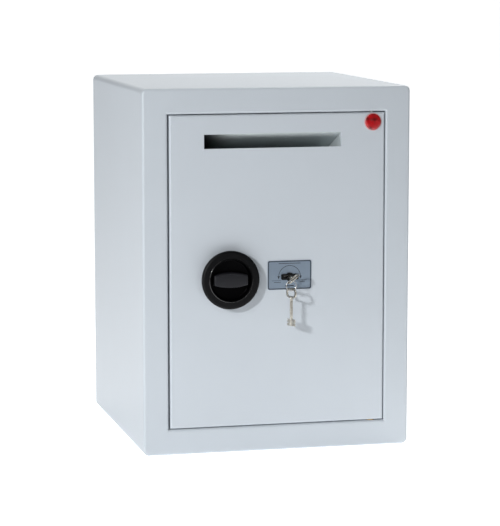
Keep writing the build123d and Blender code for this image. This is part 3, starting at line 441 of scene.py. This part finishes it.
front_y = dish_low.y
rim_y = front_y + BEAD_RISE
floor_y = grip_high.y
dish = bmesh.new()
dish_profile = soft_profile([
    (SPINDLE_R, dish_high.y, 0), (KNOB_R - 0.0045, dish_high.y, 0.0008),
    (KNOB_R - 0.001, dish_high.y - 0.004, 0.002), (KNOB_R, dish_high.y - 0.007, 0.006),
    (KNOB_R, rim_y, 0.0038), (BEAD_R, rim_y, 0.0003),
    (BEAD_R - BEAD_RISE, front_y, 0.0003), (RECESS_R - 0.0010, front_y, 0.0008),
    (RECESS_R - 0.0018, floor_y, 0.0025), (SPINDLE_R, floor_y, 0)])
dish_rings = lathe(dish, dish_profile, knob_centre, DISH_STEPS)
for i in range(DISH_STEPS):
    j = (i + 1) % DISH_STEPS
    dish.faces.new((dish_rings[-1][i], dish_rings[-1][j], dish_rings[0][j], dish_rings[0][i]))
knob_dish = finish_mesh("knob_dish_moulding", dish, rim_plastic, 50.0)
knob_dish.data.materials.append(bead_plastic.material)
knob_dish.data.materials.append(recess_painted_shade_plastic.material)
for polygon in knob_dish.data.polygons:
    across = Vector((polygon.center.x - knob_centre.x, polygon.center.z - knob_centre.z)).length
    if BEAD_FOOT < across < BEAD_R and polygon.center.y < front_y + 0.002:
        polygon.material_index = 1
    elif across < BEAD_FOOT and polygon.center.y < dish_high.y - 0.001:
        polygon.material_index = 2
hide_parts("knob_dish")
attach(knob_dish, "knob")

# The grip: a barrel-shaped outline, drawn up with a crown and soft edges.
grip_half = (grip_high.x - grip_low.x) / 2
grip_mid = (grip_high.z - grip_low.z) / 2
GRIP_END = 0.008
ARC_STEPS = 28
sagitta = grip_mid - GRIP_END
barrel_r = (grip_half ** 2 + sagitta ** 2) / (2 * sagitta)
barrel_angle = math.asin(grip_half / barrel_r)


def barrel_outline(inset):
    """The grip's outline, pulled in by an inset, as points round the bar."""
    upper = []
    for i in range(ARC_STEPS + 1):
        angle = barrel_angle * (1 - 2 * i / ARC_STEPS)
        x = barrel_r * math.sin(angle)
        z = grip_mid - barrel_r * (1 - math.cos(angle))
        shrink = 1 - inset / grip_half
        upper.append((x * shrink, z - inset))
    return upper + [(-x, -z) for x, z in upper]


grip = bmesh.new()
EDGE_ROUND = 0.0022
EDGE_STEPS = 6
CROWN = 0.0006
grip_levels = [(0.0, grip_high.y)]
for i in range(EDGE_STEPS + 1):
    bend = i / EDGE_STEPS * math.pi / 2
    level = grip_low.y + CROWN + EDGE_ROUND * (1 - math.sin(bend))
    grip_levels.append((EDGE_ROUND * (1 - math.cos(bend)), level))
grip_loops = []
for inset, y in grip_levels:
    outline = barrel_outline(inset)
    grip_loops.append([grip.verts.new((knob_centre.x + x, y, knob_centre.z + z)) for x, z in outline])
for first, second in zip(grip_loops, grip_loops[1:]):
    for i in range(len(first)):
        j = (i + 1) % len(first)
        grip.faces.new((first[i], first[j], second[j], second[i]))
grip.faces.new(grip_loops[0])
# The crown rises to the middle of the bar.
crown = grip_loops[-1]
for share in (0.8, 0.55, 0.25):
    ring = []
    for vert in grip_loops[-1]:
        x = (vert.co.x - knob_centre.x) * share
        z = (vert.co.z - knob_centre.z) * share
        ring.append(grip.verts.new((knob_centre.x + x, grip_low.y + CROWN * share ** 2, knob_centre.z + z)))
    for i in range(len(ring)):
        j = (i + 1) % len(ring)
        grip.faces.new((crown[i], crown[j], ring[j], ring[i]))
    crown = ring
grip.faces.new(crown)
knob_grip = finish_mesh("knob_grip_moulding", grip, grip_plastic, 50.0)
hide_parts("knob_grip")
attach(knob_grip, "knob")

dress(rim_plastic, "knob_rosette")


# ---- Lock label and keyhole rim ----
# A thin anodised plate with a printed border and a turning arrow, and a black moulded rim that
# frames the keyhole. The print stands a few hundredths of a millimetre proud, as screen ink does.

label_low, label_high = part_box("lock_label")
bezel_low, bezel_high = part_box("keyhole_bezel")
keyhole = Vector(((bezel_low.x + bezel_high.x) / 2, 0, (bezel_low.z + bezel_high.z) / 2))

label_blue = Finish("anodised_label", Metallic=0.35, Roughness=0.42)
brushing = label_blue.noise(1800.0, 2.0, 0.5, (0.04, 1, 1))
label_cloud = label_blue.noise(60.0, 3.0, 0.5)
label_blue.feed("Base Color", label_blue.blend(label_cloud * 0.5 + brushing * 0.4, (0.215, 0.275, 0.350),
                                               (0.265, 0.330, 0.410)))
label_blue.feed("Roughness", 0.36 + brushing * 0.12)
label_blue.bump(brushing, 0.000012)
dress(label_blue, "lock_label")

ink = Finish("label_ink", Roughness=0.5)
ink_cover = ink.noise(900.0, 3.0, 0.6)
ink.feed("Base Color", ink.blend(ink_cover, (0.020, 0.028, 0.040), (0.045, 0.055, 0.072)))
ink.feed("Roughness", 0.42 + ink_cover * 0.14)
ink.bump(ink_cover, 0.000012)

INK_DEPTH = 0.00004
ink_y = label_low.y - INK_DEPTH


def strip(shape, inner, outer, closed):
    """Raised ink between two lines of points on the label's face."""
    rows = []
    for line, y in ((inner, label_low.y), (inner, ink_y), (outer, ink_y), (outer, label_low.y)):
        rows.append([shape.verts.new((x, y, z)) for x, z in line])
    count = len(inner)
    spans = count if closed else count - 1
    for first, second in zip(rows, rows[1:]):
        for i in range(spans):
            j = (i + 1) % count
            shape.faces.new((first[i], first[j], second[j], second[i]))
    if not closed:
        for i in (0, count - 1):
            shape.faces.new([row[i] for row in rows])


def round_rect(half_x, half_z, radius, centre, steps=8):
    """The points of a rectangle with round corners."""
    points = []
    for corner, (sx, sz) in enumerate(((1, 1), (-1, 1), (-1, -1), (1, -1))):
        for i in range(steps + 1):
            angle = math.pi / 2 * (corner + i / steps)
            points.append((centre[0] + sx * (half_x - radius) + radius * math.cos(angle),
                           centre[1] + sz * (half_z - radius) + radius * math.sin(angle)))
    return points


label_mid = ((label_low.x + label_high.x) / 2, (label_low.z + label_high.z) / 2)
label_half = ((label_high.x - label_low.x) / 2, (label_high.z - label_low.z) / 2)
print_mesh = bmesh.new()
BORDER_OUT = 0.0005
BORDER_IN = 0.0021
BORDER_OUT_R = 0.0027
BORDER_IN_R = 0.0020
strip(print_mesh, round_rect(label_half[0] - BORDER_IN, label_half[1] - BORDER_IN, BORDER_IN_R, label_mid),
      round_rect(label_half[0] - BORDER_OUT, label_half[1] - BORDER_OUT, BORDER_OUT_R, label_mid), True)
ARROW_R = 0.0185
ARROW_START = 4
ARROW_SWEEP = 172
ARROW_STEPS = 48
LINE = 0.0009
arc_inner = []
arc_outer = []
for i in range(ARROW_STEPS + 1):
    angle = math.radians(ARROW_START + ARROW_SWEEP * i / ARROW_STEPS)
    for line, radius in ((arc_inner, ARROW_R - LINE / 2), (arc_outer, ARROW_R + LINE / 2)):
        line.append((keyhole.x + radius * math.cos(angle), keyhole.z + radius * math.sin(angle)))
strip(print_mesh, arc_inner, arc_outer, False)
HEAD_HALF = 0.0022
HEAD_LENGTH = 0.0054
HEAD_LIFT = 0.0014
for side in (-1, 1):
    x = keyhole.x + side * ARROW_R
    z = keyhole.z + HEAD_LIFT
    head = [(x - HEAD_HALF, z), (x + HEAD_HALF, z), (x, z - HEAD_LENGTH)]
    upper = [print_mesh.verts.new((a, ink_y, b)) for a, b in head]
    lower = [print_mesh.verts.new((a, label_low.y, b)) for a, b in head]
    print_mesh.faces.new(upper)
    for i in range(3):
        j = (i + 1) % 3
        print_mesh.faces.new((upper[i], upper[j], lower[j], lower[i]))
# Plain bars where a maker would print words: place across, place up, half length, half height.
BARS = ((0.0, 0.0222, 0.0185, 0.0005), (-0.0220, -0.0060, 0.0080, 0.0003), (-0.0205, -0.0088, 0.0058, 0.0004),
        (0.0225, -0.0060, 0.0072, 0.0003), (0.0215, -0.0088, 0.0050, 0.0004), (0.0, -0.0150, 0.0072, 0.0010))
for bar_x, bar_z, half_length, half_height in BARS:
    left = keyhole.x + bar_x - half_length
    right = keyhole.x + bar_x + half_length
    strip(print_mesh, [(left, keyhole.z + bar_z - half_height), (right, keyhole.z + bar_z - half_height)],
          [(left, keyhole.z + bar_z + half_height), (right, keyhole.z + bar_z + half_height)], False)
label_print = finish_mesh("label_print", print_mesh, ink, 20.0)
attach(label_print, "door")

bezel_plastic = moulded_plastic("keyhole_rim_plastic", (0.0035, 0.0038, 0.0045), 0.32, 900.0, 0.00002, 0.3)
dress(bezel_plastic, "keyhole_bezel")


# ---- Keys: nickel-plated steel, stamped, with a turned shaft and a double bit ----
# The bow is blanked from sheet and tumbled, so its edges are round. Handling leaves fine scratches
# and a warm, duller tone in the middle of the faces.

nickel = Finish("key_nickel", Metallic=1.0, Roughness=0.24)
scratches = nickel.noise(2600.0, 2.0, 0.6, (1, 1, 0.08))
handling = nickel.noise(130.0, 4.0, 0.6)
handled = nickel.grade(handling, 0.35, 0.7)
nickel.feed("Base Color", nickel.blend(handled, (0.60, 0.58, 0.52), (0.43, 0.40, 0.35)))
nickel.feed("Roughness", 0.17 + handling * 0.16 + scratches * 0.08)
nickel.bump(scratches, 0.00001)

key_low, key_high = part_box("key")
KEY_LENGTH = key_high.y - key_low.y
BOW_WIDTH = 0.024
BOW_LENGTH = 0.017
BOW_RIM = 0.0036
BOW_SHEET = 0.002
BOW_CORNER = 0.0071
SHAFT_R = 0.0025
BIT_WIDTH = 0.019
BIT_LENGTH = 0.011
BIT_SHEET = 0.0026
BIT_END = 0.0005
BIT_CUTS = ((-0.32, 0.0019), (0.04, 0.0028), (0.34, 0.0012))
BIT_CUT_SHARE = 0.16
KEY_TURN = -frame["record"]["behaviour"]["joints"][3]["range_deg"][0]
SPARE_TWIST = -63.0


def key_form(name, place):
    """One key: a round-edged bow, a turned shaft and a double bit, moved to its place."""
    shape = bmesh.new()
    shaft_length = KEY_LENGTH - BOW_LENGTH
    rim = round_rect(BOW_WIDTH / 2 - BOW_RIM / 2, BOW_LENGTH / 2 - BOW_RIM / 2, BOW_CORNER - BOW_RIM / 2,
                     (0.0, -BOW_LENGTH / 2), 10)
    section = round_rect(BOW_RIM / 2, BOW_SHEET / 2, 0.0006, (0.0, 0.0), 4)
    rows = []
    for i, (x, y) in enumerate(rim):
        before, after = rim[i - 1], rim[(i + 1) % len(rim)]
        along = Vector((after[0] - before[0], after[1] - before[1])).normalized()
        rows.append([shape.verts.new((x + out * along.y, y - out * along.x, up)) for out, up in section])
    for i, first in enumerate(rows):
        second = rows[(i + 1) % len(rows)]
        for k in range(len(section)):
            j = (k + 1) % len(section)
            shape.faces.new((first[k], first[j], second[j], second[k]))
    # The shaft: a rounded root inside the bow, a shallow turned groove and a broken edge at the tip.
    turned = soft_profile([(0, -0.0022, 0), (SHAFT_R * 0.75, -0.0022, 0.0004), (SHAFT_R, -0.0002, 0.0008),
                           (SHAFT_R, 0.0035, 0.0003), (SHAFT_R - 0.0003, 0.0038, 0.0002),
                           (SHAFT_R - 0.0003, 0.0046, 0.0002), (SHAFT_R, 0.0049, 0.0003),
                           (SHAFT_R, shaft_length - 0.0008, 0.0003),
                           (SHAFT_R - 0.0008, shaft_length, 0.0003), (0, shaft_length, 0)])
    lathe(shape, turned, (0, 0, 0), 40)
    bit_low = shaft_length - BIT_LENGTH - BIT_END
    outline = []
    for side in (1, -1):
        edge = [(BIT_WIDTH / 2, 0.0)]
        for step, depth in BIT_CUTS:
            low = BIT_LENGTH * (0.5 + step - BIT_CUT_SHARE / 2)
            high = low + BIT_LENGTH * BIT_CUT_SHARE
            edge += [(BIT_WIDTH / 2, low), (BIT_WIDTH / 2 - depth, low), (BIT_WIDTH / 2 - depth, high),
                     (BIT_WIDTH / 2, high)]
        edge.append((BIT_WIDTH / 2, BIT_LENGTH))
        outline += [(side * x, bit_low + y) for x, y in edge[::side]]
    lower = [shape.verts.new((x, y, -BIT_SHEET / 2)) for x, y in outline]
    upper = [shape.verts.new((x, y, BIT_SHEET / 2)) for x, y in outline]
    faces = [shape.faces.new(lower), shape.faces.new(upper)]
    for i in range(len(outline)):
        j = (i + 1) % len(outline)
        faces.append(shape.faces.new((lower[i], lower[j], upper[j], upper[i])))
    bmesh.ops.recalc_face_normals(shape, faces=shape.faces)
    bit_edges = list({edge for face in faces for edge in face.edges})
    bmesh.ops.bevel(shape, geom=bit_edges, offset=0.0002, segments=2, affect="EDGES")
    bmesh.ops.transform(shape, matrix=place, verts=shape.verts)
    return finish_mesh(name, shape, nickel, 40.0)


spare_low, spare_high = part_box("spare_key")
key_place = (Matrix.Translation((keyhole.x, key_low.y + BOW_LENGTH, keyhole.z))
             @ Matrix.Rotation(math.radians(-KEY_TURN), 4, "Y"))
spare_place = (Matrix.Translation(((spare_low.x + spare_high.x) / 2, (spare_low.y + spare_high.y) / 2,
                                   spare_high.z - BOW_LENGTH))
               @ Matrix.Rotation(math.radians(SPARE_TWIST), 4, "Z") @ Matrix.Rotation(-math.pi / 2, 4, "X"))
for key_name, its_place, key_node, key_body in (("lock_key_form", key_place, "key", "lock_key"),
                                                ("spare_key_form", spare_place, "spare_key", "spare")):
    key_piece = key_form(key_name, its_place)
    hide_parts(key_node)
    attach(key_piece, key_body)


# ---- Key ring: hard wire wound twice round ----
# Flattened spring wire, nickel plated. The two turns lie side by side and the ends are cut square.

ring_low, ring_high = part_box("key_ring")
ring_centre = (ring_low + ring_high) / 2
WIRE_R = (ring_high.y - ring_low.y) / 2
RING_R = (ring_high.x - ring_low.x) / 2 - WIRE_R
TURNS = 2
STEPS_A_TURN = 72
END_GAP_STEPS = 3
CROSSING_STEEPNESS = 9
SECTION = 10
WIRE_SHARE = 0.80
FLAT_SHARE = 0.94
half_pitch = WIRE_R / 2
ring_mesh = bmesh.new()
sections = []
for i in range(TURNS * STEPS_A_TURN - END_GAP_STEPS):
    angle = math.pi / 2 + 2 * math.pi * i / STEPS_A_TURN
    shift = half_pitch * math.tanh(CROSSING_STEEPNESS * (i / (TURNS * STEPS_A_TURN) - 0.5))
    section = []
    for k in range(SECTION):
        around = 2 * math.pi * k / SECTION
        out = WIRE_R * WIRE_SHARE * math.cos(around)
        side = half_pitch * FLAT_SHARE * math.sin(around)
        section.append(ring_mesh.verts.new((ring_centre.x + (RING_R + out) * math.cos(angle),
                                            ring_centre.y + shift + side,
                                            ring_centre.z + (RING_R + out) * math.sin(angle))))
    sections.append(section)
for first, second in zip(sections, sections[1:]):
    for k in range(SECTION):
        j = (k + 1) % SECTION
        ring_mesh.faces.new((first[k], first[j], second[j], second[k]))
ring_mesh.faces.new(sections[0])
ring_mesh.faces.new(sections[-1])
ring_wire = turned_metal("ring_wire_nickel", (0.66, 0.65, 0.63), 0.2, 2000.0, (1, 1, 1))
split_ring = finish_mesh("split_ring", ring_mesh, ring_wire, 60.0)
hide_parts("key_ring")
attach(split_ring, "ring")


# ---- Badge: a plain red dome in the door's corner ----
# Clear red resin, wavy on top, poured over a disc whose thin rim is pale enamel. It carries no mark.

badge_low, badge_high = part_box("badge")
badge_centre = (badge_low + badge_high) / 2
BADGE_R = (badge_high.x - badge_low.x) / 2
BADGE_THICK = badge_high.y - badge_low.y
RIM_HEIGHT = 0.0012
RIM_WIDTH = 0.0011
RIM_BAND = 0.0012
DOME_STEPS = 14
DOME_POWER = 0.8
badge_red = Finish("badge_red_resin", Roughness=0.12, Coat_Roughness=0.03)
depth_of_red = badge_red.noise(85.0, 1.0, 0.4)
badge_red.feed("Base Color", badge_red.blend(badge_red.grade(depth_of_red, 0.34, 0.60), (0.12, 0.0005, 0.001),
                                             (0.46, 0.001, 0.004)))
badge_red.feed("Roughness", 0.08 + depth_of_red * 0.08)
badge_red.feed("Coat Weight", 0.8 + depth_of_red * 0.2)
badge_red.bump(badge_red.noise(95.0, 1.0, 0.4), 0.0022)
badge_rim = Finish("badge_rim_enamel", Roughness=0.3)
rim_wear = badge_rim.noise(300.0, 3.0, 0.6)
badge_rim.feed("Base Color", badge_rim.blend(rim_wear, (0.56, 0.24, 0.25), (0.70, 0.38, 0.38)))
badge_rim.feed("Roughness", 0.22 + rim_wear * 0.12)
badge_rim.bump(rim_wear, 0.00001)
badge_mesh = bmesh.new()
badge_profile = [(0.0, badge_high.y), (BADGE_R, badge_high.y), (BADGE_R, badge_high.y - 0.0009),
                 (BADGE_R - 0.0002, badge_high.y - RIM_HEIGHT), (BADGE_R - RIM_WIDTH, badge_high.y - RIM_HEIGHT)]
for i in range(DOME_STEPS + 1):
    bend = math.pi / 2 * i / DOME_STEPS
    rise = (BADGE_THICK - RIM_HEIGHT) * math.sin(bend) ** DOME_POWER
    badge_profile.append(((BADGE_R - RIM_WIDTH) * math.cos(bend), badge_high.y - RIM_HEIGHT - rise))
badge_profile[-1] = (0.0, badge_low.y)
lathe(badge_mesh, badge_profile, badge_centre, 96)
badge_dome = finish_mesh("badge_dome", badge_mesh, badge_red, 50.0)
badge_dome.data.materials.append(badge_rim.material)
for polygon in badge_dome.data.polygons:
    across = math.hypot(polygon.center.x - badge_centre.x, polygon.center.z - badge_centre.z)
    if across > BADGE_R - RIM_BAND:
        polygon.material_index = 1
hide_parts("badge")
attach(badge_dome, "door")


# ---- Studio: a pale floor that curves up behind, soft light from the left and above, the camera ----
# None of this is part of the box. The camera stands a little left of the door and above its middle.

studio_white = Finish("studio_floor", Roughness=0.9)
floor_cloud = studio_white.noise(2.0, 2.0, 0.5)
studio_white.feed("Base Color", studio_white.blend(floor_cloud, (0.80, 0.80, 0.80), (0.84, 0.84, 0.84)))
studio_white.shader.inputs["Emission Color"].default_value = (0.97, 0.985, 1.0, 1.0)
studio_white.shader.inputs["Emission Strength"].default_value = 0.78

SWEEP_LEFT = -1.4
SWEEP_RIGHT = 3.4
SWEEP_FRONT = -0.9
SWEEP_BEND = 3.0
SWEEP_R = 3.0
SWEEP_TOP = 6.0
SWEEP_DROP = 0.0005
BEND_STEPS = 16
sweep = [(SWEEP_FRONT, 0.0), (SWEEP_BEND, 0.0)]
for i in range(1, BEND_STEPS + 1):
    bend = math.pi / 2 * i / BEND_STEPS
    sweep.append((SWEEP_BEND + SWEEP_R * math.sin(bend), SWEEP_R * (1 - math.cos(bend))))
sweep.append((SWEEP_BEND + SWEEP_R, SWEEP_TOP))
backdrop_mesh = bmesh.new()
edge_rows = [[backdrop_mesh.verts.new((x, y, z - SWEEP_DROP)) for y, z in sweep]
             for x in (SWEEP_LEFT, SWEEP_RIGHT)]
for i in range(len(sweep) - 1):
    backdrop_mesh.faces.new((edge_rows[0][i], edge_rows[0][i + 1], edge_rows[1][i + 1], edge_rows[1][i]))
backdrop = finish_mesh("backdrop", backdrop_mesh, studio_white, 60.0)

room_floor = Finish("room_floor", Roughness=0.85)
floor_marks = room_floor.noise(1.5, 3.0, 0.5)
room_floor.feed("Base Color", room_floor.blend(floor_marks, (0.70, 0.70, 0.71), (0.76, 0.76, 0.77)))
FLOOR_HALF = 9.0
FLOOR_DROP = 0.001
floor_mesh = bmesh.new()
floor_mesh.faces.new([floor_mesh.verts.new((x * FLOOR_HALF, y * FLOOR_HALF, -FLOOR_DROP))
                      for x, y in ((-1, -1), (1, -1), (1, 1), (-1, 1))])
floor = finish_mesh("floor", floor_mesh, room_floor)


def soft_light(name, place, target, size, power, colour=(1, 1, 1)):
    """A square soft box that faces a point."""
    lamp = bpy.data.lights.new(name, "AREA")
    lamp.shape = "SQUARE"
    lamp.size = size
    lamp.energy = power
    lamp.color = colour
    holder = bpy.data.objects.new(name, lamp)
    holder.location = place
    holder.rotation_euler = (Vector(target) - Vector(place)).to_track_quat("-Z", "Y").to_euler()
    bpy.context.scene.collection.objects.link(holder)
    return holder


aim = (0.0, -0.2, 0.3)
soft_light("front_left", (-2.36, -2.44, 1.42), aim, 0.26, 58.0)
soft_light("front_above", (-1.3, -2.4, 2.6), aim, 1.0, 7.0)
soft_light("front_low", (-1.6, -3.4, 0.15), (0.0, -0.2, 0.5), 0.7, 6.0)
soft_light("left_side", (-2.4, -1.2, 1.1), (-0.2, 0.0, 0.3), 1.6, 6.0)
soft_light("overhead", (1.3, 0.5, 2.5), (0.2, 0.1, 0.6), 1.0, 52.0, (1.0, 0.985, 0.96))

world = bpy.data.worlds.new("studio_air")
world.use_nodes = True
world.node_tree.nodes["Background"].inputs["Color"].default_value = (0.95, 0.975, 1.0, 1.0)
world.node_tree.nodes["Background"].inputs["Strength"].default_value = 0.10
bpy.context.scene.world = world
bpy.context.scene.view_settings.view_transform = "Standard"

SENSOR = 36.0
camera_data = bpy.data.cameras.new("camera")
camera_data.sensor_width = SENSOR
camera_data.lens = 159.7
camera_data.clip_end = 60.0
camera = bpy.data.objects.new("camera", camera_data)
camera.location = (-0.9441, -3.8961, 0.8172)
camera.rotation_euler = (math.radians(90 - 7.592), 0.0, math.radians(-13.737))
bpy.context.scene.collection.objects.link(camera)
bpy.context.scene.camera = camera
